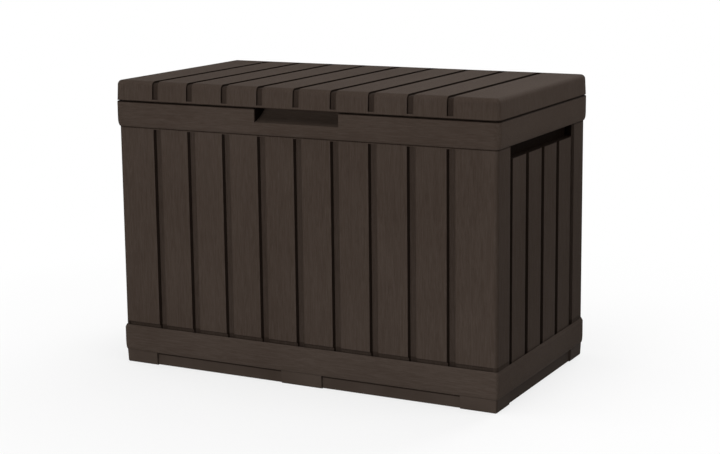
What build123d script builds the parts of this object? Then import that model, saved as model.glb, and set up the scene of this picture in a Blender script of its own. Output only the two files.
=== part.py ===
from build123d import *
import math
import os

# Resin storage box with a slatted lid, millimetres.
# X runs along the length, Y from the front to the rear, Z up from the ground.
# The origin is the centre of the whole footprint, hinge knuckles included.

# Overall plan size of the rim band
length = 800.0
depth = 440.0

# Heights that stack up from the ground to the lid's top
plinth_height = 25.0
skirt_height = 50.5
wall_height = 394.0
band_height = 48.5
parting_gap = 2.0
lid_height = 38.5

# Clearances and cutting overrun
seat_gap = 0.3
running_gap = 0.1
overrun = 5.0

# Plan radii of the corners
band_corner = 11.5
wall_corner = 7.5
skirt_corner = 7.5

# Insets of the faces from the band's outer face
wall_inset = 4.6
skirt_inset = 1.4
plinth_inset = 8.8

# Sheet thicknesses
wall_sheet = 2.2
lid_sheet = 2.5
floor_sheet = 3.0
rim_sheet = 2.8

# Front and rear wall slats
front_grooves = 9
front_pitch = 76.8
wall_groove_width = 17.0
wall_groove_floor = 12.0
wall_groove_depth = 6.4
groove_top_below_band = 3.5
foot_strip_height = 7.5
foot_strip_depth = 3.0
foot_strip_lap = 3.0

# Corner posts
front_post_width = 56.0
rear_post_width = 56.0
post_depth = 15.5
post_lip = 11.5
screw_boss_width = 9.0
screw_boss_height = 28.0

# Side panels
side_slats = 4
side_recess = 1.4
side_groove_depth = 4.6
side_groove_width = 14.5
side_groove_floor = 10.5
hand_hold_height = 24.0
hand_hold_depth = 17.5
hand_hold_rise = 17.5

# Base skirt
skirt_chamfer_height = 5.6
skirt_tuck_height = 15.0
skirt_foot_sheet = 2.8
ledge_height = 3.0
ledge_drop = 38.0
ledge_width = 24.0

# Floor panel
strip_lift = 1.0
pad_front_width = 76.0
pad_side_width = 64.5
pad_middle_width = 86.0
pad_reach = 28.0
pad_draft = 3.0
pad_round = 2.8
floor_rib_height = 24.0
floor_rib_sheet = 2.2
floor_ribs_along = 4
floor_ribs_across = 10

# Rim frame
band_skin = 4.3
band_tuck_height = 15.5
band_top_round = 1.1
flange_sheet = 3.5
flange_width = 24.0
rim_skirt_drop = 27.0
lip_rise = 9.0
recess_width = 176.0
recess_height = 25.4
recess_depth = 43.0
recess_sag = 4.2
recess_moat = 5.6

# Lid
lid_inset = 0.4
lid_draft = 3.0
lid_round = 9.2
lid_groove_width = 12.4
lid_groove_depth = 3.6
lid_groove_stop = 4.2
lid_corner = 11.2

# Lid liner
liner_sheet = 2.8
liner_pocket = 1.1
liner_border = 24.0
liner_panels = 4
liner_rib_sheet = 1.8
liner_ribs_along = 3
liner_ribs_across = 5

# Hinge
hinge_share = 0.335
hinge_reach = 7.0
knuckle_radius = 6.0
lid_knuckle_width = 31.0
rim_knuckle_width = 18.5
knuckle_gap = 0.5
knuckle_arm = 20.0
knuckle_bite = 2.0
pin_radius = 2.5
pin_head_radius = 4.0
pin_head = 1.5
pin_tail = 1.5

# Gas struts, placed from the hinge axis
wall_pivot_forward = 51.0
wall_pivot_drop = 168.0
lid_pivot_forward = 116.0
lid_pivot_drop = 9.8
strut_inset = 36.0
tube_radius = 5.3
tube_bore = 4.3
tube_end_wall = 2.2
rod_radius = 2.0
eye_radius = 5.6
eye_width = 5.0
eye_shank = 3.6
eye_reach = 11.5
stud_radius = 3.0
stud_head_radius = 4.4
stud_head = 1.5
gland_length = 6.0
gland_neck = 6.0
piston_length = 7.0
rod_show = 4.5

# Strut brackets
bracket_sheet = 2.0
wall_bracket_width = 24.0
wall_bracket_height = 46.0
wall_boss_radius = 6.4
lid_bracket_length = 41.0
lid_bracket_foot = 24.0
lid_bracket_tip = 8.5
bracket_round = 3.5

# Screws
screw_radius = 1.6
screw_head_radius = 3.1
screw_head = 1.9
screw_length = 5.5
rim_screw_length = 17.0
wall_screw_spacing = 33.0
lid_screw_spacing = 27.0

# Levels worked out from the stack of heights
z_skirt_low = plinth_height + seat_gap
z_skirt_top = z_skirt_low + skirt_height
z_band_low = z_skirt_top + wall_height
z_band_top = z_band_low + band_height
z_lid_low = z_band_top + parting_gap
z_lid_top = z_lid_low + lid_height
z_hinge = z_band_top + parting_gap / 2
z_wall_low = ledge_drop + ledge_height
z_wall_top = z_band_top - flange_sheet - seat_gap
z_strip_top = z_skirt_top + foot_strip_height
z_groove_top = z_band_low - groove_top_below_band
z_slot_low = z_band_low - hand_hold_height
z_pocket_top = z_band_low + hand_hold_rise
z_lip_top = z_band_top + lip_rise
z_liner = z_lip_top + seat_gap
z_rim_skirt = z_band_top - rim_skirt_drop

# Plan places
body_y = -(hinge_reach + knuckle_radius) / 2
y_front = body_y - depth / 2
y_rear = body_y + depth / 2
y_hinge = y_rear + hinge_reach
wall_x = length / 2 - wall_inset
wall_y = depth / 2 - wall_inset
strut_x = length / 2 - strut_inset
side_y_front = body_y - wall_y + front_post_width + seat_gap
side_y_rear = body_y + wall_y - rear_post_width - seat_gap
hinge_spread = length * hinge_share
hinge_places = (-hinge_spread, 0, hinge_spread)


def turned(shape, angle):
    """Turn a shape about the upright line through the middle of the body."""
    return Pos(0, body_y) * Rot(0, 0, angle) * Pos(0, -body_y) * shape


def slab(inset, radius, z_low, z_high):
    """Upright block with a rounded outline, set in from the band's face."""
    outline = RectangleRounded(length - 2 * inset, depth - 2 * inset, radius)
    return extrude(Pos(0, body_y, z_low) * outline, amount=z_high - z_low)


def block(x_low, x_high, y_low, y_high, z_low, z_high):
    """Box from its two corners."""
    middle = Pos((x_low + x_high) / 2, (y_low + y_high) / 2, (z_low + z_high) / 2)
    return middle * Box(x_high - x_low, y_high - y_low, z_high - z_low)


def side_face(points):
    """Face in the YZ plane from (y, z) points."""
    return Plane.YZ * make_face(Polyline(*points, close=True))


def prism_x(face, x_low, x_high):
    """Extrude a YZ face from x_low to x_high."""
    return extrude(Pos(x_low, 0, 0) * face, amount=x_high - x_low)


def rod_x(x_low, x_high, y, z, radius):
    """Round bar along X."""
    bar = Cylinder(radius, x_high - x_low)
    return Pos((x_low + x_high) / 2, y, z) * Rot(0, 90, 0) * bar


def rod_z(x, y, z_low, z_high, radius):
    """Round bar along Z."""
    return Pos(x, y, (z_low + z_high) / 2) * Cylinder(radius, z_high - z_low)


def swept_ring(profile, inset, radius):
    """Carry a YZ profile, drawn at the front face, round the whole outline."""
    half_x = length / 2 - inset
    half_y = depth / 2 - inset
    corners = ((0, -half_y), (half_x, -half_y), (half_x, half_y), (0, half_y))
    path = Pos(0, body_y) * FilletPolyline(*corners, radius=radius)
    half = sweep(profile, path=path)
    return half + mirror(half, about=Plane.YZ)


def front_profile(*curves):
    """Face in the YZ plane from curves drawn as (inset, height)."""
    plane = Plane(origin=(0, y_front, 0), x_dir=(0, 1, 0), z_dir=(1, 0, 0))
    return plane * make_face(curves)


def groove_section(width, floor, groove_depth, sheet, x):
    """Trapezoid of a groove and of the sheet that lines it, in plan."""
    lean = (width - floor) / 2
    cut = Polyline(
        (x - width / 2 - lean, -groove_depth),
        (x + width / 2 + lean, -groove_depth),
        (x + floor / 2, groove_depth),
        (x - floor / 2, groove_depth),
        close=True,
    )
    back = Polyline(
        (x - width / 2 - sheet, sheet / 2),
        (x + width / 2 + sheet, sheet / 2),
        (x + floor / 2 + sheet, groove_depth + sheet),
        (x - floor / 2 - sheet, groove_depth + sheet),
        close=True,
    )
    return make_face(cut), make_face(back)


def plan_rect(x_low, x_high, y_low, y_high):
    """Rectangle in plan from its corners."""
    middle = Pos((x_low + x_high) / 2, (y_low + y_high) / 2)
    return middle * Rectangle(x_high - x_low, y_high - y_low)


def wall_plan(post_width, set_back, corner):
    """Plan of a wall and its two hollow posts, front face on the X axis."""
    plan = plan_rect(-wall_x, wall_x, set_back, post_width)
    corners = plan.vertices().group_by(Axis.Y)[0]
    plan = fillet(corners, corner)
    inner = wall_x - post_depth
    plan -= plan_rect(-inner, inner, set_back + wall_sheet, post_width + overrun)
    for side in (-1, 1):
        x_a = side * (inner + wall_sheet)
        x_b = side * (wall_x - wall_sheet)
        void = plan_rect(min(x_a, x_b), max(x_a, x_b), set_back + wall_sheet, post_width - wall_sheet)
        outer_corner = void.vertices().group_by(Axis.Y)[0].sort_by(Axis.X)[-1 if side > 0 else 0]
        plan -= fillet(outer_corner, corner - wall_sheet)
    return plan


def front_groove_plans():
    """Plans of the wall's grooves, and of the sheet behind each one."""
    cuts = []
    backs = []
    for index in range(front_grooves):
        x = (index - (front_grooves - 1) / 2) * front_pitch
        cut, back = groove_section(
            wall_groove_width, wall_groove_floor, wall_groove_depth, wall_sheet, x
        )
        cuts.append(cut)
        backs.append(back)
    return cuts, backs


def foot_strip():
    """Shallow bevelled strip under the slats, and the sheet that lines it."""
    z_low = z_skirt_top - foot_strip_lap
    deep = foot_strip_depth
    back = deep + wall_sheet
    cut = side_face(
        (
            (-overrun, z_low),
            (deep, z_low),
            (deep, z_strip_top - deep),
            (0, z_strip_top),
            (-overrun, z_strip_top),
        )
    )
    lining = side_face(
        (
            (0, z_low - wall_sheet),
            (back, z_low - wall_sheet),
            (back, z_strip_top - deep),
            (wall_sheet, z_strip_top + wall_sheet),
            (0, z_strip_top + wall_sheet),
        )
    )
    reach = wall_x - wall_corner
    return prism_x(cut, -reach, reach), prism_x(lining, -reach, reach)


def wall_panel(post_width):
    """Wall with ten slats; its ends turn the corner as hollow posts."""
    plain = wall_plan(post_width, 0, wall_corner)
    cuts, backs = front_groove_plans()
    slatted = plain
    for cut, back in zip(cuts, backs):
        slatted = slatted + back - cut
    panel = Pos(0, 0, z_wall_low) * extrude(slatted, amount=z_groove_top - z_wall_low)
    strip_cut, strip_lining = foot_strip()
    z_top = z_strip_top + 2 * wall_sheet
    for cut in cuts:
        strip_lining -= Pos(0, 0, z_wall_low) * extrude(cut, amount=z_top - z_wall_low)
    panel = panel + strip_lining - strip_cut
    panel += Pos(0, 0, z_groove_top) * extrude(plain, amount=z_band_low - z_groove_top)
    hidden = wall_plan(post_width, 0, band_corner - band_skin - seat_gap)
    panel += Pos(0, 0, z_band_low) * extrude(hidden, amount=z_wall_top - z_band_low)
    inner = wall_x - post_depth
    shelf_back = wall_groove_depth + wall_sheet
    panel += block(-inner, inner, 0, shelf_back, z_groove_top, z_groove_top + wall_sheet)
    x_lip = wall_x - side_recess - side_groove_depth - wall_sheet - seat_gap
    for side in (-1, 1):
        x_a = side * x_lip
        x_b = side * (x_lip - wall_sheet)
        lip_end = post_width + post_lip
        lip_top = z_slot_low - wall_sheet - seat_gap
        panel += block(min(x_a, x_b), max(x_a, x_b), post_width, lip_end, z_wall_low, lip_top)
        panel += screw_boss(side, post_width)
    return panel


def screw_boss(side, post_width):
    """Block in a post's top that takes a rim screw, with its pilot hole."""
    x = side * (wall_x - post_depth / 2)
    y = post_width / 2
    half = screw_boss_width / 2
    x_half = post_depth / 2 - wall_sheet
    boss = block(x - x_half, x + x_half, y - half, y + half, z_wall_top - screw_boss_height, z_wall_top)
    hole = rod_z(x, y, z_wall_top - rim_screw_length, z_wall_top + overrun, screw_radius + running_gap)
    return boss - hole


def front_panel():
    """Front wall, notched at the top for the rim's finger recess."""
    panel = Pos(0, body_y - wall_y, 0) * wall_panel(front_post_width)
    half = recess_width / 2 + rim_sheet + seat_gap
    z_notch = z_band_top - recess_height - rim_sheet - seat_gap
    y_back = y_front + wall_inset + wall_sheet + overrun
    return panel - block(-half, half, y_front, y_back, z_notch, z_wall_top + overrun)


def rear_panel():
    return turned(Pos(0, body_y - wall_y, 0) * wall_panel(rear_post_width), 180)


def side_plan(closed):
    """Plan of the right slatted insert, its slats hollow or closed."""
    face_x = wall_x - side_recess
    floor_x = face_x - side_groove_depth
    span = side_y_rear - side_y_front
    pitch = (span - side_groove_width) / side_slats
    plan = plan_rect(floor_x - wall_sheet, floor_x, side_y_front, side_y_rear)
    lean = (side_groove_width - side_groove_floor) / 2
    for index in range(side_slats):
        y = side_y_front + side_groove_width / 2 + (index + 1 / 2) * pitch
        half_top = (pitch - side_groove_width) / 2
        half_low = half_top + lean
        outer = Polyline(
            (floor_x, y - half_low),
            (face_x, y - half_top),
            (face_x, y + half_top),
            (floor_x, y + half_low),
            close=True,
        )
        inner_low = half_low - wall_sheet
        inner_top = half_top - wall_sheet
        inner = Polyline(
            (floor_x - wall_sheet - overrun, y - inner_low),
            (floor_x - wall_sheet, y - inner_low),
            (face_x - wall_sheet, y - inner_top),
            (face_x - wall_sheet, y + inner_top),
            (floor_x - wall_sheet, y + inner_low),
            (floor_x - wall_sheet - overrun, y + inner_low),
            close=True,
        )
        plan += make_face(outer)
        if not closed:
            plan -= make_face(inner)
    return plan


def hand_hold():
    """Pocket above the slats where the fingers reach up behind the band."""
    face_x = wall_x - side_recess
    floor_x = face_x - side_groove_depth
    back_x = face_x - hand_hold_depth
    sheet = wall_sheet
    points = (
        (floor_x, z_slot_low),
        (back_x, z_slot_low),
        (back_x, z_pocket_top),
        (floor_x, z_pocket_top),
        (floor_x, z_wall_top),
        (floor_x - sheet, z_wall_top),
        (floor_x - sheet, z_pocket_top + sheet),
        (back_x - sheet, z_pocket_top + sheet),
        (back_x - sheet, z_slot_low - sheet),
        (floor_x, z_slot_low - sheet),
    )
    face = Plane.XZ * make_face(Polyline(*points, close=True))
    pocket = Pos(0, side_y_rear, 0) * extrude(face, amount=side_y_rear - side_y_front)
    for y in (side_y_front, side_y_rear - sheet):
        pocket += block(back_x - sheet, floor_x, y, y + sheet, z_slot_low - sheet, z_pocket_top + sheet)
    return pocket


def side_panel(side):
    z_caps = z_slot_low - wall_sheet
    slats = Pos(0, 0, z_wall_low) * extrude(side_plan(False), amount=z_caps - z_wall_low)
    caps = Pos(0, 0, z_caps) * extrude(side_plan(True), amount=wall_sheet)
    panel = slats + caps + hand_hold()
    return panel if side > 0 else mirror(panel, about=Plane.YZ)


def base_skirt():
    """Base band with a bevelled top, a tucked-in foot and an inner ledge."""
    inner = wall_inset - seat_gap
    foot_back = inner + skirt_foot_sheet
    tuck = inner - skirt_inset
    z_low = z_skirt_low
    curves = (
        EllipticalCenterArc(
            (inner, z_low + skirt_tuck_height), tuck, skirt_tuck_height, start_angle=180, arc_size=90
        ),
        Line((inner, z_low), (foot_back, z_low)),
        Line((foot_back, z_low), (foot_back, z_wall_low)),
        Line((foot_back, z_wall_low), (inner, z_wall_low)),
        Line((inner, z_wall_low), (inner, z_skirt_top)),
        Line((inner, z_skirt_top), (skirt_inset, z_skirt_top - skirt_chamfer_height)),
        Line((skirt_inset, z_skirt_top - skirt_chamfer_height), (skirt_inset, z_low + skirt_tuck_height)),
    )
    skirt = swept_ring(front_profile(*curves), skirt_inset, skirt_corner)
    ledge = slab(foot_back - overrun / 2, skirt_corner - tuck - overrun / 2, ledge_drop, z_wall_low)
    ledge -= slab(foot_back + ledge_width, rim_sheet, ledge_drop - overrun, z_wall_low + overrun)
    return skirt + ledge


def foot_ring():
    """Ring that the pads are cut from, so that they follow the corners."""
    top_inset = wall_inset - seat_gap
    radius = skirt_corner - top_inset + skirt_inset
    outline = RectangleRounded(length - 2 * top_inset, depth - 2 * top_inset, radius)
    block_down = extrude(Pos(0, body_y, plinth_height) * outline, amount=-plinth_height, taper=pad_draft)
    block_down = fillet(block_down.faces().sort_by(Axis.Z)[0].edges(), pad_round)
    return block_down


def foot_pads():
    half_x = length / 2
    front = y_front
    rear = y_rear
    core = block(
        -(half_x - pad_reach - plinth_inset),
        half_x - pad_reach - plinth_inset,
        front + pad_reach + plinth_inset,
        rear - pad_reach - plinth_inset,
        -overrun,
        plinth_height + overrun,
    )
    zones = Pos(0, body_y, 0) * Box(pad_middle_width, 2 * depth, 2 * plinth_height)
    for side in (-1, 1):
        for y_edge, way in ((front, 1), (rear, -1)):
            x_mid = side * (half_x - pad_front_width / 2)
            y_mid = y_edge + way * pad_side_width / 2
            zones += Pos(x_mid, y_mid, 0) * Box(pad_front_width, pad_side_width, 2 * plinth_height)
    return (foot_ring() - core) & zones


def floor_panel():
    """Floor plate, underside ribs, plinth wall and the foot pads."""
    foot_back = wall_inset - seat_gap + skirt_foot_sheet
    plate_inset = foot_back + seat_gap
    plate_corner = skirt_corner - plate_inset + skirt_inset
    z_top = ledge_drop - seat_gap
    panel = slab(plate_inset, plate_corner, z_top - floor_sheet, z_top)
    wall_in = plinth_inset + floor_sheet
    plinth = slab(plinth_inset, plate_corner, strip_lift, z_top)
    plinth -= slab(wall_in, rim_sheet, strip_lift - overrun, z_top - floor_sheet)
    panel += plinth
    raised_inset = wall_inset + skirt_foot_sheet + ledge_width + seat_gap
    panel += slab(raised_inset, rim_sheet, z_top - floor_sheet, z_wall_low)
    z_rib = z_top - floor_rib_height
    reach_x = length / 2 - wall_in
    reach_y = depth / 2 - wall_in
    half = floor_rib_sheet / 2
    for index in range(floor_ribs_along):
        y = body_y + ((index + 1) / (floor_ribs_along + 1) - 1 / 2) * 2 * reach_y
        panel += block(-reach_x, reach_x, y - half, y + half, z_rib, z_top)
    for index in range(floor_ribs_across):
        x = ((index + 1) / (floor_ribs_across + 1) - 1 / 2) * 2 * reach_x
        panel += block(x - half, x + half, body_y - reach_y, body_y + reach_y, z_rib, z_top)
    return panel + foot_pads()


def rim_core(inset, bump):
    """Block that fills the frame's opening, stepped back behind the recess."""
    core = slab(inset, rim_sheet, z_rim_skirt - overrun, z_lip_top + overrun)
    half = recess_width / 2 + bump
    back = y_front + recess_depth + bump
    core -= block(-half, half, y_front, back, z_rim_skirt - 2 * overrun, z_lip_top + 2 * overrun)
    return core


def recess_face(drop):
    """Section of the finger recess: a hollow that rises to the rear."""
    z_low = z_band_top - recess_height - drop
    z_high = z_band_top
    y_back = y_front + recess_depth + drop
    z_mid = (z_low + z_high) / 2 - recess_sag
    y_mid = (y_front + y_back) / 2
    z_over = z_high + overrun
    y_out = y_front - overrun
    edges = [ThreePointArc((y_front, z_low), (y_mid, z_mid), (y_back, z_high))]
    if drop:
        edges.append(Line((y_back, z_high), (y_front, z_high)))
        edges.append(Line((y_front, z_high), (y_front, z_low)))
    else:
        edges.append(Line((y_back, z_high), (y_back, z_over)))
        edges.append(Line((y_back, z_over), (y_out, z_over)))
        edges.append(Line((y_out, z_over), (y_out, z_low)))
        edges.append(Line((y_out, z_low), (y_front, z_low)))
    return Plane.YZ * make_face(edges)


def band():
    """Outer skin of the rim with a rounded top edge and a tucked-in foot."""
    curves = (
        EllipticalCenterArc(
            (band_skin, z_band_low + band_tuck_height),
            band_skin,
            band_tuck_height,
            start_angle=180,
            arc_size=90,
        ),
        Line((band_skin, z_band_low), (band_skin, z_band_top)),
        Line((band_skin, z_band_top), (band_top_round, z_band_top)),
        Line((band_top_round, z_band_top), (0, z_band_top - band_top_round)),
        Line((0, z_band_top - band_top_round), (0, z_band_low + band_tuck_height)),
    )
    return swept_ring(front_profile(*curves), 0, band_corner)


def rim_knuckles():
    """Pairs of hinge knuckles on the rear of the rim."""
    knuckles = []
    bite = y_rear - knuckle_bite
    points = (
        (bite, z_band_top),
        (bite, z_hinge - knuckle_arm),
        (y_hinge + knuckle_radius, z_hinge),
        (y_hinge, z_hinge),
        (y_rear, z_band_top),
    )
    face = side_face(points)
    for place in hinge_places:
        for side in (-1, 1):
            near = lid_knuckle_width / 2 + knuckle_gap
            far = near + rim_knuckle_width
            x_low = place + min(side * near, side * far)
            x_high = place + max(side * near, side * far)
            knuckle = prism_x(face, x_low, x_high)
            knuckle += rod_x(x_low, x_high, y_hinge, z_hinge, knuckle_radius)
            bore = rod_x(x_low - overrun, x_high + overrun, y_hinge, z_hinge, pin_radius + running_gap)
            knuckles.append(knuckle - bore)
    return knuckles


def rim_screw_places():
    """Plan places of the screws, one over each corner post."""
    x = wall_x - post_depth / 2
    front = body_y - wall_y + front_post_width / 2
    rear = body_y + wall_y - rear_post_width / 2
    return ((-x, front), (x, front), (-x, rear), (x, rear))


def top_rim():
    """Rim frame: band, flange, rain lip, finger recess and hinge knuckles."""
    gap = recess_moat
    opening = rim_core(flange_width, gap)
    flange = slab(band_top_round, band_corner - band_top_round, z_band_top - flange_sheet, z_band_top)
    flange -= opening
    lip = rim_core(flange_width - rim_sheet, gap - rim_sheet)
    lip &= slab(0, band_corner, z_rim_skirt, z_lip_top)
    lip -= opening
    half = recess_width / 2
    scoop = prism_x(recess_face(rim_sheet), -half - rim_sheet, half + rim_sheet)
    rim = band() + flange + lip + scoop
    rim -= prism_x(recess_face(0), -half, half)
    for knuckle in rim_knuckles():
        rim += knuckle
    for x, y in rim_screw_places():
        rim -= rod_z(x, y, z_band_top - 2 * flange_sheet, z_band_top + overrun, screw_radius + running_gap)
    return rim


def rim_screws():
    """Pan-head screws, one over each corner post."""
    screws = []
    for x, y in rim_screw_places():
        z_head = z_band_top
        shank = rod_z(x, y, z_wall_top - rim_screw_length + overrun, z_head, screw_radius)
        head = rod_z(x, y, z_head, z_head + screw_head, screw_head_radius)
        head = chamfer(head.edges().group_by(Axis.Z)[-1], screw_head / 3)
        screws.append(shank + head)
    return Compound(children=screws)


def lid_block(offset, z_low):
    """Solid of the lid's outer form, drawn in by an offset on every side."""
    size_x = length - 2 * (lid_inset + offset)
    size_y = depth - 2 * (lid_inset + offset)
    top = z_lid_top - offset
    lean = math.tan(math.radians(lid_draft)) * (z_lid_low - z_low)
    outline = RectangleRounded(size_x + 2 * lean, size_y + 2 * lean, lid_corner - offset)
    solid = extrude(Pos(0, body_y, z_low) * outline, amount=top - z_low, taper=lid_draft)
    return fillet(solid.faces().sort_by(Axis.Z)[-1].edges(), lid_round - offset)


def groove_slabs(width, y_end):
    """Upright slabs where the lid's grooves run from the front to y_end."""
    slabs = []
    for index in range(front_grooves):
        x = (index - (front_grooves - 1) / 2) * front_pitch
        slabs.append(
            block(
                x - width / 2,
                x + width / 2,
                y_front - overrun,
                y_end,
                z_lid_low + lid_groove_stop,
                z_lid_top + overrun,
            )
        )
    return slabs


def lid_knuckles():
    """Hinge knuckles on the rear of the lid, one between each pair of the rim's."""
    knuckles = []
    bite = y_rear - lid_inset - knuckle_bite
    top_bite = bite - math.tan(math.radians(lid_draft)) * knuckle_arm
    points = (
        (bite, z_lid_low),
        (top_bite, z_hinge + knuckle_arm),
        (y_hinge + knuckle_radius, z_hinge),
        (y_hinge, z_hinge),
        (y_rear - lid_inset, z_lid_low),
    )
    face = side_face(points)
    half = lid_knuckle_width / 2
    for place in hinge_places:
        knuckle = prism_x(face, place - half, place + half)
        knuckle += rod_x(place - half, place + half, y_hinge, z_hinge, knuckle_radius)
        bore = rod_x(place - far_end(), place + far_end(), y_hinge, z_hinge, pin_radius + running_gap)
        knuckles.append(knuckle - bore)
    return knuckles


def far_end():
    """Half the length of a whole hinge, over its rim knuckles."""
    return lid_knuckle_width / 2 + knuckle_gap + rim_knuckle_width


def lid_shell():
    """Lid skin of even thickness, grooved over the front and the top."""
    outer = lid_block(0, z_lid_low)
    groove_floor = lid_block(lid_groove_depth, z_lid_low - overrun)
    cavity = lid_block(lid_sheet, z_lid_low - overrun)
    deep = lid_block(lid_groove_depth + lid_sheet, z_lid_low - 2 * overrun)
    y_end = y_rear - lid_inset - lid_round
    lining = Part() + groove_slabs(lid_groove_width + 2 * lid_sheet, y_end + lid_sheet)
    cuts = Part() + groove_slabs(lid_groove_width, y_end)
    shell = outer - (cavity - (lining - deep))
    shell -= cuts - groove_floor
    for knuckle in lid_knuckles():
        shell += knuckle
    return shell


def lid_liner():
    """Inner panel of the lid with ribs that reach up to the shell."""
    lean = math.tan(math.radians(lid_draft)) * (z_liner + liner_sheet - z_lid_low)
    inset = lid_inset + lean + lid_sheet + lid_groove_depth + seat_gap
    corner = lid_corner - inset + lid_inset
    liner = slab(inset, corner, z_liner, z_liner + liner_sheet)
    half_x = length / 2 - inset
    half_y = depth / 2 - inset
    panel_x = (2 * half_x - (liner_panels + 1) * liner_border) / liner_panels
    panel_y = 2 * half_y - 2 * liner_border
    for index in range(liner_panels):
        x = -half_x + liner_border + panel_x / 2 + index * (panel_x + liner_border)
        outline = Pos(x, body_y, z_liner) * RectangleRounded(panel_x, panel_y, liner_border / 2)
        liner -= extrude(outline, amount=liner_pocket)
    z_rib = z_lid_top - lid_sheet - lid_groove_depth - seat_gap
    half = liner_rib_sheet / 2
    reach_x = half_x - liner_border / 2
    reach_y = half_y - liner_border / 2
    for index in range(liner_ribs_along):
        y = body_y + (index - (liner_ribs_along - 1) / 2) * 2 * reach_y / (liner_ribs_along + 1)
        liner += block(-reach_x, reach_x, y - half, y + half, z_liner + liner_pocket, z_rib)
    for index in range(liner_ribs_across):
        x = (index - (liner_ribs_across - 1) / 2) * 2 * half_x / liner_panels
        x = max(-reach_x, min(reach_x, x))
        liner += block(x - half, x + half, body_y - reach_y, body_y + reach_y, z_liner + liner_pocket, z_rib)
    for x, y in lid_screw_places():
        liner -= rod_z(x, y, z_liner - overrun, z_liner + screw_length + overrun, screw_radius + running_gap)
    return liner


def hinge_pin(place):
    """Headed pin through one hinge."""
    x_low = place - far_end() - pin_head
    shank = rod_x(x_low, place + far_end() + pin_tail, y_hinge, z_hinge, pin_radius)
    head = rod_x(x_low - running_gap, x_low + pin_head - running_gap, y_hinge, z_hinge, pin_head_radius)
    return shank + head


# Strut pivots at rest and the straight line between them
wall_pivot = Vector(0, y_hinge - wall_pivot_forward, z_hinge - wall_pivot_drop)
lid_pivot = Vector(0, y_hinge - lid_pivot_forward, z_hinge - lid_pivot_drop)
strut_length = (lid_pivot - wall_pivot).length
strut_way = (lid_pivot - wall_pivot).normalized()


def on_strut(shape, side):
    """Place a shape, drawn along Z from the wall pivot, on one strut."""
    origin = Vector(side * strut_x, wall_pivot.Y, wall_pivot.Z)
    return Plane(origin=origin, x_dir=(1, 0, 0), z_dir=strut_way).location * shape


def strut_eye(centre, way):
    """Flat eye on a round shank that points towards the strut's middle."""
    ring = Pos(0, 0, centre) * Rot(0, 90, 0) * Cylinder(eye_radius, eye_width)
    shank = Pos(0, 0, centre + way * eye_reach / 2) * Cylinder(eye_shank / 2 + running_gap, eye_reach)
    collar = Pos(0, 0, centre + way * (eye_reach - eye_shank / 2)) * Cylinder(eye_shank, eye_shank)
    bore = Pos(0, 0, centre) * Rot(0, 90, 0) * Cylinder(stud_radius + running_gap, 2 * eye_width)
    return ring + shank + collar - bore


def tube_eye(side):
    return on_strut(strut_eye(0, 1), side)


def rod_eye(side):
    return on_strut(strut_eye(strut_length, -1), side)


def tube_span():
    """Start and end of the tube along the strut."""
    start = eye_reach + seat_gap
    end = strut_length - eye_reach - rod_show - gland_length
    return start, end


def strut_tube(side):
    start, end = tube_span()
    body = Pos(0, 0, (start + end) / 2) * Cylinder(tube_radius, end - start)
    hollow_start = start + tube_end_wall
    bore = Pos(0, 0, (hollow_start + end + overrun) / 2) * Cylinder(tube_bore, end + overrun - hollow_start)
    return on_strut(body - bore, side)


def strut_gland(side):
    """Guide and seal that closes the tube round the rod."""
    end = tube_span()[1]
    cap = Pos(0, 0, end + gland_length / 2) * Cylinder(tube_radius, gland_length)
    cap = chamfer(cap.edges().group_by(Axis.Z)[-1], tube_radius - tube_bore)
    neck = Pos(0, 0, end - gland_neck / 2 + running_gap) * Cylinder(tube_bore - running_gap, gland_neck)
    bore = Pos(0, 0, end) * Cylinder(rod_radius + running_gap, 4 * gland_length)
    return on_strut(cap + neck - bore, side)


def strut_piston(side):
    start = tube_span()[0] + 2 * tube_end_wall
    body = Pos(0, 0, start + piston_length / 2) * Cylinder(tube_bore - running_gap, piston_length)
    bore = Pos(0, 0, start) * Cylinder(rod_radius + running_gap, 4 * piston_length)
    return on_strut(body - bore, side)


def strut_rod(side):
    start = tube_span()[0] + 2 * tube_end_wall
    end = strut_length - eye_reach - running_gap
    return on_strut(Pos(0, 0, (start + end) / 2) * Cylinder(rod_radius, end - start), side)


def wall_bracket(side):
    """Screwed plate with a round boss that stands off from the rear post."""
    x_wall = wall_x - post_depth
    y = wall_pivot.Y
    z = wall_pivot.Z
    half_y = wall_bracket_width / 2
    half_z = wall_bracket_height / 2
    plate = block(x_wall - bracket_sheet, x_wall, y - half_y, y + half_y, z - half_z, z + half_z)
    plate = fillet(plate.edges().filter_by(Axis.X), bracket_round)
    x_boss = strut_x + eye_width / 2 + seat_gap
    plate += rod_x(x_boss, x_wall - bracket_sheet / 2, y, z, wall_boss_radius)
    plate -= rod_x(x_boss - overrun, x_wall + overrun, y, z, stud_radius + running_gap)
    for way in (-1, 1):
        z_screw = z + way * wall_screw_spacing / 2
        plate -= rod_x(x_wall - 2 * bracket_sheet, x_wall + overrun, y, z_screw, screw_radius + running_gap)
    return plate if side > 0 else mirror(plate, about=Plane.YZ)


def wall_stud(side):
    """Headed stud that the tube's eye turns on."""
    x_wall = wall_x - post_depth
    x_eye = strut_x - eye_width / 2 - seat_gap
    stud = rod_x(x_eye - stud_head / 2, x_wall - seat_gap, wall_pivot.Y, wall_pivot.Z, stud_radius)
    stud += rod_x(x_eye - stud_head, x_eye, wall_pivot.Y, wall_pivot.Z, stud_head_radius)
    return stud if side > 0 else mirror(stud, about=Plane.YZ)


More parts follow.
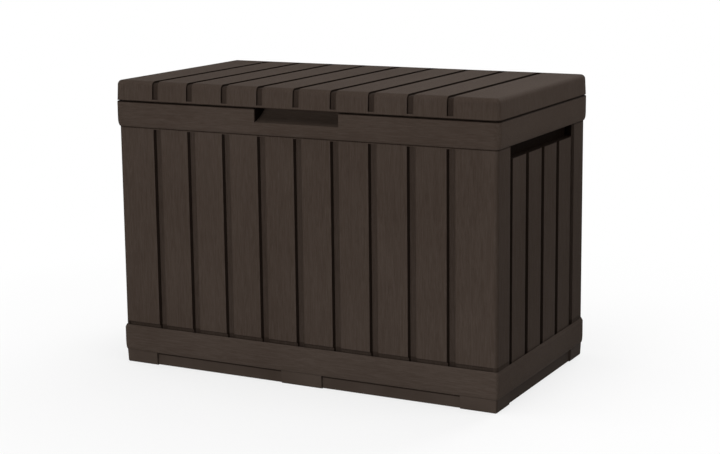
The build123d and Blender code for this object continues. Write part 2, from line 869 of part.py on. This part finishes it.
def lid_stud(side):
    """Headed stud in the rod's eye, its tip beside the lid bracket."""
    x_tip = strut_x - eye_width / 2 - bracket_sheet
    x_eye = strut_x + eye_width / 2 + seat_gap
    stud = rod_x(x_tip, x_eye + stud_head / 2, lid_pivot.Y, lid_pivot.Z, stud_radius)
    stud += rod_x(x_eye, x_eye + stud_head, lid_pivot.Y, lid_pivot.Z, stud_head_radius)
    return stud if side > 0 else mirror(stud, about=Plane.YZ)


def lid_bracket_face():
    """Outer X of the lid bracket's upright plate on the right-hand side."""
    return strut_x - eye_width / 2 - bracket_sheet - seat_gap


def lid_bracket(side):
    """Angle bracket under the liner; its leg hangs down beside the eye."""
    x_face = lid_bracket_face()
    y = lid_pivot.Y
    half = lid_bracket_length / 2
    z_tip = lid_pivot.Z - lid_bracket_tip
    z_low = z_liner - bracket_sheet
    foot = block(x_face - lid_bracket_foot, x_face, y - half, y + half, z_low, z_liner - running_gap)
    leg_points = (
        (y - half, z_liner - running_gap),
        (y - lid_bracket_tip, z_tip),
        (y + lid_bracket_tip, z_tip),
        (y + half, z_liner - running_gap),
    )
    leg = prism_x(side_face(leg_points), x_face - bracket_sheet, x_face)
    bracket = foot + leg
    for x, y_screw in lid_screw_places():
        if x > 0:
            bracket -= rod_z(x, y_screw, z_low - overrun, z_liner + overrun, screw_radius + running_gap)
    return bracket if side > 0 else mirror(bracket, about=Plane.YZ)


def lid_screw_places():
    """Plan places of the screws that hold the lid brackets."""
    x = lid_bracket_face() - bracket_sheet - (lid_bracket_foot - bracket_sheet) / 2
    places = []
    for side in (-1, 1):
        for way in (-1, 1):
            places.append((side * x, lid_pivot.Y + way * lid_screw_spacing / 2))
    return places


def lid_bracket_screws():
    screws = []
    for x, y in lid_screw_places():
        z_seat = z_liner - bracket_sheet
        shank = rod_z(x, y, z_seat, z_seat + screw_length, screw_radius)
        head = rod_z(x, y, z_seat - screw_head, z_seat, screw_head_radius)
        screws.append(shank + head)
    return Compound(children=screws)


def wall_bracket_screws():
    screws = []
    x_seat = wall_x - post_depth - bracket_sheet
    for way in (-1, 1):
        z = wall_pivot.Z + way * wall_screw_spacing / 2
        screw = rod_x(x_seat, x_seat + screw_length, wall_pivot.Y, z, screw_radius)
        screw += rod_x(x_seat - screw_head, x_seat, wall_pivot.Y, z, screw_head_radius)
        screws.append(screw)
        screws.append(mirror(screw, about=Plane.YZ))
    return Compound(children=screws)


def screw_holes_in(panel):
    """Cut the wall bracket screws' holes in the rear posts."""
    x_wall = wall_x - post_depth
    for way in (-1, 1):
        z = wall_pivot.Z + way * wall_screw_spacing / 2
        hole = rod_x(x_wall - overrun, x_wall + screw_length, wall_pivot.Y, z, screw_radius + running_gap)
        panel -= hole
        panel -= mirror(hole, about=Plane.YZ)
    return panel


nodes = {
    "floor_panel": floor_panel(),
    "base_skirt": base_skirt(),
    "front_panel": front_panel(),
    "rear_panel": screw_holes_in(rear_panel()),
    "left_side_panel": side_panel(-1),
    "right_side_panel": side_panel(1),
    "top_rim": top_rim(),
    "rim_screws": rim_screws(),
    "lid_shell": lid_shell(),
    "lid_liner": lid_liner(),
    "wall_bracket_screws": wall_bracket_screws(),
    "lid_bracket_screws": lid_bracket_screws(),
}
for name, place in zip(("left", "centre", "right"), hinge_places):
    nodes["hinge_pin_" + name] = hinge_pin(place)
for name, side in (("left", -1), ("right", 1)):
    nodes[name + "_wall_bracket"] = wall_bracket(side)
    nodes[name + "_wall_stud"] = wall_stud(side)
    nodes[name + "_lid_bracket"] = lid_bracket(side)
    nodes[name + "_lid_stud"] = lid_stud(side)
    nodes[name + "_strut_tube"] = strut_tube(side)
    nodes[name + "_strut_gland"] = strut_gland(side)
    nodes[name + "_strut_piston"] = strut_piston(side)
    nodes[name + "_strut_rod"] = strut_rod(side)
    nodes[name + "_tube_eye"] = tube_eye(side)
    nodes[name + "_rod_eye"] = rod_eye(side)

os.makedirs("parts", exist_ok=True)
for name, shape in nodes.items():
    export_step(shape, "parts/" + name + ".step")
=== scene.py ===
import math

import bmesh
import bpy
from mathutils import Euler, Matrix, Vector


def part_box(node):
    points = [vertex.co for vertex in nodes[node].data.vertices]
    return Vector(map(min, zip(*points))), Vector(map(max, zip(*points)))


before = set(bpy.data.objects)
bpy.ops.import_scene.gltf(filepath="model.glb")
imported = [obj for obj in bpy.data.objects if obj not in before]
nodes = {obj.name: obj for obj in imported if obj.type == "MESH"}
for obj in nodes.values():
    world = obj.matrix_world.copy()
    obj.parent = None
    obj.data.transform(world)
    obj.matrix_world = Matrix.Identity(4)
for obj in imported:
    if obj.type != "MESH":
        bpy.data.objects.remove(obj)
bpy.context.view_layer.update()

# Axes of the frame
X, Y, Z = range(3)

# Camera, fitted to the box's outline and slat lines: metres, degrees, lens and film in
# millimetres, and the shift as a share of the film's width
camera_place = (1.4677, -2.7746, 0.8916)
camera_yaw = 27.685
camera_pitch = 9.925
camera_roll = -0.611
lens_length = 81.61
film_width = 36.0
film_shift = -0.0556
sight_limit = 100.0

# Faces and seams of the box, read from the frame
skirt_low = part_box("base_skirt")[0][Z]
skirt_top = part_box("base_skirt")[1][Z]
band_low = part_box("top_rim")[0][Z]
band_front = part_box("top_rim")[0][Y]
band_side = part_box("top_rim")[1][X]
pin_low, pin_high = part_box("hinge_pin_centre")
hinge_height = (pin_low[Z] + pin_high[Z]) / 2

# Sizes that no node's box gives, in metres
band_depth = 0.440
parting_gap = 0.002
groove_pitch = 0.0768
groove_reach = 4.5 * groove_pitch
wall_groove_half = 0.0088
lid_groove_half = 0.0064
recess_half = 0.0895
middle_pad_half = 0.043
corner_pad_width = 0.076
rim_edge_width = 0.0045

# Levels and faces worked out from them
band_rear = band_front + band_depth
band_top = hinge_height - parting_gap / 2
lid_low = hinge_height + parting_gap / 2

# Places of the shade that is kept in the colour, from the seam or face that each goes with.
# A limit of beyond lies past the whole object.
beyond = 1.0
wall_groove_heights = (skirt_low + 0.0247, band_low - 0.0033)
strip_heights = (skirt_top - 0.0013, skirt_top + 0.0076)
gap_heights = (band_low - 0.0023, band_low + 0.0004)
side_groove_floors = (band_side - 0.0140, band_side - 0.0085)
hand_hold_heights = (band_low - 0.0245, beyond)
lid_groove_heights = (lid_low + 0.0043, beyond)
parting_heights = (lid_low - 0.0003, lid_low + 0.0012)
rim_edge_heights = (band_top - 0.0015, band_top + 0.0002)
rim_edge_side = (band_side - rim_edge_width, beyond)
rim_edge_front = (-beyond, band_front + rim_edge_width)
rim_edge_rear = (band_rear - rim_edge_width, beyond)
recess_span = (0.0, recess_half)
recess_depths = (band_front + 0.0040, band_front + 0.0565)
recess_heights = (band_top - 0.0263, band_top - 0.0004)
skirt_line_heights = (skirt_low - 0.0041, skirt_low + 0.0003)
between_pads = (middle_pad_half, band_side - corner_pad_width)

# Scale of the grain's noise along each axis, for grain that runs along X or along Z
GRAIN = {X: (1.0, 14.0, 14.0), Z: (14.0, 14.0, 1.0)}

# Growth rings and pores of the grain, and the ranges that become pores and light tones
RING_COUNT = 9.0
PORE_DARKNESS = 0.25
PORE_RANGE = (0.42, 0.60)
TONE_RANGE = (0.32, 0.72)

# Range that most of a noise covers, and how squarely a face has to face an axis to count
NOISE_RANGE = (0.3, 0.7)
FACING_RANGE = (0.35, 0.75)

# Sockets of a colour mix, which share their names with those for other data
MIX_FACTOR, MIX_A, MIX_B, MIX_RESULT = 0, 6, 7, 2


def srgb(red, green, blue):
    """Linear colour from 0 to 255 display values."""
    values = []
    for value in (red, green, blue):
        share = value / 255
        values.append(share / 12.92 if share <= 0.04045 else ((share + 0.055) / 1.055) ** 2.4)
    return (*values, 1.0)


def grey(level):
    """Linear grey."""
    return (level, level, level, 1.0)


# Colours, and the amounts of shade kept on faces that face left or right
DEEP = srgb(13, 6, 3)
dark_brown = srgb(53, 44, 38)
light_brown = srgb(68, 59, 53)
# The skirt's two browns are the walls' browns four levels lighter: painted light on the lower front.
# The liner shares the darker one.
skirt_dark = srgb(57, 48, 42)
skirt_light_with_painted_light = srgb(72, 63, 57)
foot_dark = srgb(56, 47, 41)
foot_light = srgb(66, 57, 51)
inside_light = srgb(64, 55, 49)
body_end_shade = 0.18
skirt_end_shade = 0.12
foot_end_shade = 0.40

# Gloss of the grained resin, light of the world, and the floor's size and glow
MATT = 0.012
world_light = 0.26
floor_half_size = 14.0
floor_glow_near = 0.72
floor_glow_distances = (0.5, 1.2)


# Shader nodes
class Nodes:
    """Adds linked nodes to one node tree."""

    def __init__(self, tree):
        self.tree = tree

    def feed(self, value, socket):
        """Link a socket to another one, or set its own value."""
        if isinstance(value, bpy.types.NodeSocket):
            self.tree.links.new(value, socket)
        else:
            socket.default_value = value

    def add(self, kind, sockets=(), **settings):
        """A new node with its settings and its sockets fed."""
        node = self.tree.nodes.new(kind)
        for key, value in settings.items():
            setattr(node, key, value)
        for key, value in dict(sockets).items():
            self.feed(value, node.inputs[key])
        return node

    def math(self, operation, first, second=0.0):
        return self.add("ShaderNodeMath", {0: first, 1: second}, operation=operation).outputs[0]

    def product(self, values):
        """All values multiplied together."""
        total = values[0]
        for value in values[1:]:
            total = self.math("MULTIPLY", total, value)
        return total

    def weighted(self, *shares):
        """Sum of values, each times its weight."""
        parts = [self.math("MULTIPLY", value, weight) for value, weight in shares]
        total = parts[0]
        for part in parts[1:]:
            total = self.math("ADD", total, part)
        return total

    def ramp(self, value, low, high, value_low=0.0, value_high=1.0):
        """A value carried from one range to another and held at its ends."""
        sockets = {
            "Value": value,
            "From Min": low,
            "From Max": high,
            "To Min": value_low,
            "To Max": value_high,
        }
        return self.add("ShaderNodeMapRange", sockets).outputs["Result"]

    def between(self, value, limits):
        """1 where a value lies between two limits, 0 elsewhere."""
        low, high = limits
        over = self.math("GREATER_THAN", value, low)
        under = self.math("LESS_THAN", value, high)
        return self.math("MULTIPLY", over, under)

    def split(self, vector):
        """The x, y and z outputs of a vector."""
        return self.add("ShaderNodeSeparateXYZ", {0: vector}).outputs

    def noise(self, vector, scale, detail=2.0, rough=0.5, distortion=0.0):
        sockets = {
            "Vector": vector,
            "Scale": scale,
            "Detail": detail,
            "Roughness": rough,
            "Distortion": distortion,
        }
        return self.add("ShaderNodeTexNoise", sockets).outputs["Fac"]

    def mixed(self, factor, colour_a, colour_b):
        """The first colour mixed towards the second by a factor."""
        sockets = {MIX_FACTOR: factor, MIX_A: colour_a, MIX_B: colour_b}
        return self.add("ShaderNodeMix", sockets, data_type="RGBA").outputs[MIX_RESULT]

    def bump(self, height, strength, distance):
        sockets = {"Height": height, "Strength": strength, "Distance": distance}
        return self.add("ShaderNodeBump", sockets).outputs["Normal"]

    def seen(self):
        """1 for what is seen straight, in gloss or through glass, 0 for light that falls on things."""
        rays = self.add("ShaderNodeLightPath").outputs
        seen = self.math("MAXIMUM", rays["Is Camera Ray"], rays["Is Glossy Ray"])
        return self.math("MAXIMUM", seen, rays["Is Transmission Ray"])


class Material(Nodes):
    """A new material, with its main shader and the object's own coordinates."""

    def __init__(self, name):
        self.material = bpy.data.materials.new(name)
        self.material.use_nodes = True
        super().__init__(self.material.node_tree)
        self.shader = self.tree.nodes["Principled BSDF"]
        self.place = self.add("ShaderNodeTexCoord").outputs["Object"]

    def give(self, socket, value):
        """Feed one socket of the main shader."""
        self.feed(value, self.shader.inputs[socket])

    def stretched(self, scale):
        """The object's coordinates, scaled along each axis."""
        sockets = {"Vector": self.place, "Scale": scale}
        return self.add("ShaderNodeMapping", sockets).outputs["Vector"]

    def facing(self, axis):
        """How squarely a surface faces along one axis, 0 to 1."""
        normal = self.add("ShaderNodeTexCoord").outputs["Normal"]
        return self.ramp(self.math("ABSOLUTE", self.split(normal)[axis]), *FACING_RANGE)

    def shaded(self, colour, shades):
        """A colour darkened by each shade in turn."""
        for share in shades:
            colour = self.mixed(share(self), colour, DEEP)
        return colour


# Shade by place
def zone(amount, aside=None, y=None, z=None, facing=None):
    """Shade of one part of a piece: limits of |x|, y and z, and the axis that its faces face."""

    def share(n):
        place = n.split(n.place)
        factors = [amount]
        if aside:
            factors.append(n.between(n.math("ABSOLUTE", place[X]), aside))
        if y:
            factors.append(n.between(place[Y], y))
        if z:
            factors.append(n.between(place[Z], z))
        if facing is not None:
            factors.append(n.facing(facing))
        return n.product(factors)

    return share


def grooves(amount, half_width, heights, facing=None):
    """Shade inside the grooves that cross the front, the rear and the lid."""

    def share(n):
        place = n.split(n.place)
        nearest = n.math("SNAP", n.math("ADD", place[X], groove_pitch / 2), groove_pitch)
        aside = n.math("ABSOLUTE", n.math("SUBTRACT", place[X], nearest))
        factors = [
            amount,
            n.math("LESS_THAN", aside, half_width),
            n.between(place[X], (-groove_reach, groove_reach)),
            n.between(place[Z], heights),
        ]
        if facing is not None:
            factors.append(n.facing(facing))
        return n.product(factors)

    return share


# Materials
def grained_resin(name, axis, dark, light, shades, relief=0.35):
    """Brown moulded resin with an embossed wood grain that runs along one axis."""
    n = Material(name)
    along = n.stretched(GRAIN[axis])
    fibre = n.noise(along, scale=36.0, detail=5.0, rough=0.62, distortion=0.35)
    figure = n.noise(along, scale=7.0, detail=3.0, rough=0.55, distortion=1.6)
    rings = n.math("PINGPONG", n.math("MULTIPLY", figure, RING_COUNT), 1.0)
    pores = n.ramp(n.noise(along, scale=90.0), *PORE_RANGE)
    broad = n.noise(n.place, scale=4.0)
    tone = n.weighted((fibre, 0.5), (rings, 0.15), (broad, 0.35))
    colour = n.mixed(n.ramp(tone, *TONE_RANGE), dark, light)
    pore_share = n.math("MULTIPLY", n.math("SUBTRACT", 1.0, pores), PORE_DARKNESS)
    colour = n.mixed(pore_share, colour, dark)
    height = n.weighted((fibre, 0.7), (rings, 0.3), (pores, 0.25))
    n.give("Base Color", n.shaded(colour, shades))
    n.give("Normal", n.bump(height, strength=relief, distance=0.0009))
    n.give("Roughness", n.ramp(fibre, *NOISE_RANGE, value_low=0.68, value_high=0.82))
    n.give("Specular IOR Level", MATT)
    return n.material


def plain_resin(name, dark, light, rough=0.75, gloss=0.04, shades=()):
    """Fine-textured resin of the floor panel, the liner and small parts, and the struts' paint."""
    n = Material(name)
    fine = n.noise(n.place, scale=900.0)
    cloud = n.noise(n.place, scale=9.0, detail=3.0)
    colour = n.mixed(n.ramp(cloud, *NOISE_RANGE), dark, light)
    n.give("Base Color", n.shaded(colour, shades))
    n.give("Normal", n.bump(fine, strength=0.25, distance=0.0004))
    n.give("Roughness", n.ramp(cloud, *NOISE_RANGE, value_low=rough - 0.06, value_high=rough + 0.06))
    n.give("Specular IOR Level", gloss)
    return n.material


def metal(name, colour, rough, stretch):
    """Plated or ground metal with faint working marks."""
    n = Material(name)
    marks = n.noise(n.stretched(stretch), scale=420.0)
    cloud = n.noise(n.place, scale=60.0, detail=3.0)
    pale = tuple(min(1.0, value * 1.15) for value in colour)
    n.give("Base Color", n.mixed(n.ramp(cloud, *NOISE_RANGE), colour, pale))
    n.give("Metallic", 1.0)
    n.give("Roughness", n.ramp(marks, *NOISE_RANGE, value_low=rough - 0.05, value_high=rough + 0.08))
    n.give("Normal", n.bump(marks, strength=0.12, distance=0.0002))
    return n.material


# Shade kept in the colour, as shares of the way to the deep tone. Grooves, gaps, seams, the
# recess, the hand-hold and the plinth between its pads lie in shade in most light. The shade
# on all faces that face left or right stands for a part of the photo's own light.
wall_shades = (
    grooves(0.25, wall_groove_half, wall_groove_heights),
    grooves(0.60, wall_groove_half, wall_groove_heights, facing=X),
    zone(body_end_shade, facing=X),
    zone(0.38, z=strip_heights),
    zone(0.60, z=gap_heights),
)
side_shades = (
    zone(body_end_shade, facing=X),
    zone(0.50, aside=side_groove_floors, facing=X),
    zone(0.75, facing=Y),
    zone(0.90, z=hand_hold_heights),
)
lid_shades = (
    grooves(0.50, lid_groove_half, lid_groove_heights),
    grooves(0.60, lid_groove_half, lid_groove_heights, facing=X),
    zone(0.60, z=parting_heights),
)
rim_shades = (
    zone(0.80, aside=rim_edge_side, z=rim_edge_heights),
    zone(0.80, y=rim_edge_front, z=rim_edge_heights),
    zone(0.80, y=rim_edge_rear, z=rim_edge_heights),
    zone(0.90, aside=recess_span, y=recess_depths, z=recess_heights, facing=X),
)
skirt_shades = (zone(skirt_end_shade, facing=X),)
foot_shades = (
    zone(0.06, aside=between_pads, facing=Y),
    zone(0.75, aside=between_pads, z=skirt_line_heights, facing=Y),
    zone(foot_end_shade, facing=X),
)

wall_resin = grained_resin("resin_walls", Z, dark_brown, light_brown, wall_shades)
side_resin = grained_resin("resin_sides", Z, dark_brown, light_brown, side_shades)
lid_resin = grained_resin("resin_lid", Z, dark_brown, light_brown, lid_shades, relief=0.30)
skirt_resin = grained_resin("resin_skirt", X, skirt_dark, skirt_light_with_painted_light, skirt_shades)
rim_resin = grained_resin("resin_rim", X, dark_brown, light_brown, rim_shades)
foot_resin = plain_resin("resin_foot", foot_dark, foot_light, shades=foot_shades)
inside_resin = plain_resin("resin_inside", skirt_dark, inside_light)
black = plain_resin("plastic_black", srgb(28, 28, 29), srgb(38, 38, 39), rough=0.5, gloss=0.3)
paint = plain_resin("paint_black", srgb(22, 22, 23), srgb(30, 30, 31), rough=0.35, gloss=0.5)
zinc = metal("zinc_plate", srgb(172, 174, 176), rough=0.38, stretch=(1.0, 1.0, 1.0))
pin_zinc = metal("zinc_pin", srgb(160, 162, 165), rough=0.32, stretch=(0.1, 1.0, 1.0))
chrome = metal("rod_chrome", srgb(158, 161, 165), rough=0.22, stretch=(1.0, 1.0, 0.1))

# The end of a node's name decides its material
dress = {
    "front_panel": wall_resin,
    "rear_panel": wall_resin,
    "side_panel": side_resin,
    "top_rim": rim_resin,
    "base_skirt": skirt_resin,
    "lid_shell": lid_resin,
    "floor_panel": foot_resin,
    "lid_liner": inside_resin,
    "screws": zinc,
    "bracket": zinc,
    "stud": pin_zinc,
    "hinge_pin_left": pin_zinc,
    "hinge_pin_centre": pin_zinc,
    "hinge_pin_right": pin_zinc,
    "tube": paint,
    "rod": chrome,
    "gland": black,
    "piston": black,
    "eye": black,
}
for name, node in nodes.items():
    for ending, material in dress.items():
        if name.endswith(ending):
            node.data.materials.clear()
            node.data.materials.append(material)


# Camera, floor and light
def photo_camera():
    """Camera at the photo's viewing angle."""
    data = bpy.data.cameras.new("camera")
    data.sensor_fit = "HORIZONTAL"
    data.sensor_width = film_width
    data.lens = lens_length
    data.shift_y = film_shift
    data.clip_end = sight_limit
    camera = bpy.data.objects.new("camera", data)
    camera.location = camera_place
    turn = Euler((math.radians(90 - camera_pitch), 0, math.radians(camera_yaw)), "XYZ").to_matrix()
    roll = Euler((0, 0, math.radians(camera_roll)), "XYZ").to_matrix()
    camera.rotation_euler = (turn @ roll).to_euler("XYZ")
    bpy.context.scene.collection.objects.link(camera)
    bpy.context.scene.camera = camera


def floor():
    """White floor that keeps the object's shadow and fades into the world."""
    mesh = bpy.data.meshes.new("floor")
    form = bmesh.new()
    bmesh.ops.create_grid(form, x_segments=8, y_segments=8, size=floor_half_size)
    form.to_mesh(mesh)
    form.free()
    piece = bpy.data.objects.new("floor", mesh)
    bpy.context.scene.collection.objects.link(piece)
    n = Material("floor_white")
    grain = n.noise(n.place, scale=3.0)
    n.give("Base Color", n.mixed(n.ramp(grain, *NOISE_RANGE), grey(0.90), grey(0.92)))
    n.give("Roughness", 0.9)
    n.give("Specular IOR Level", 0.1)
    distance = n.add("ShaderNodeVectorMath", {0: n.place}, operation="LENGTH").outputs["Value"]
    share = n.ramp(distance, *floor_glow_distances, value_low=floor_glow_near)
    glow = n.add("ShaderNodeEmission")
    sockets = {0: n.math("MULTIPLY", n.seen(), share), 1: n.shader.outputs[0], 2: glow.outputs[0]}
    surface = n.add("ShaderNodeMixShader", sockets).outputs[0]
    n.feed(surface, n.tree.nodes["Material Output"].inputs["Surface"])
    mesh.materials.append(n.material)


def studio_world():
    """White to the eye, and a low even light on the object."""
    world = bpy.data.worlds.new("studio")
    world.use_nodes = True
    bpy.context.scene.world = world
    n = Nodes(world.node_tree)
    background = n.tree.nodes["Background"]
    n.feed(grey(1.0), background.inputs["Color"])
    n.feed(n.ramp(n.seen(), 0.0, 1.0, value_low=world_light), background.inputs["Strength"])


def soft_light(name, place, aim, size, power):
    """Square lamp that the camera doesn't see."""
    data = bpy.data.lights.new(name, "AREA")
    data.shape = "SQUARE"
    data.size = size
    data.energy = power
    lamp = bpy.data.objects.new(name, data)
    lamp.location = place
    lamp.visible_camera = False
    lamp.rotation_euler = (Vector(aim) - Vector(place)).to_track_quat("-Z", "Y").to_euler()
    bpy.context.scene.collection.objects.link(lamp)


photo_camera()
floor()
studio_world()
soft_light("top", place=(-0.3, -0.5, 2.4), aim=(0.0, 0.0, 0.4), size=2.0, power=27.0)
soft_light("key", place=(-0.2, -3.3, 0.7), aim=(0.0, 0.0, 0.2), size=1.2, power=52.0)
soft_light("side", place=(0.9, -0.1, 1.0), aim=(0.4, 0.0, 0.52), size=0.5, power=2.8)
soft_light("back", place=(0.5, 2.6, 2.0), aim=(0.0, 0.0, 0.4), size=1.8, power=50.0)
soft_light("left", place=(-1.6, 0.2, 1.1), aim=(-0.4, 0.0, 0.35), size=0.6, power=2.5)

bpy.context.scene.view_settings.view_transform = "Standard"
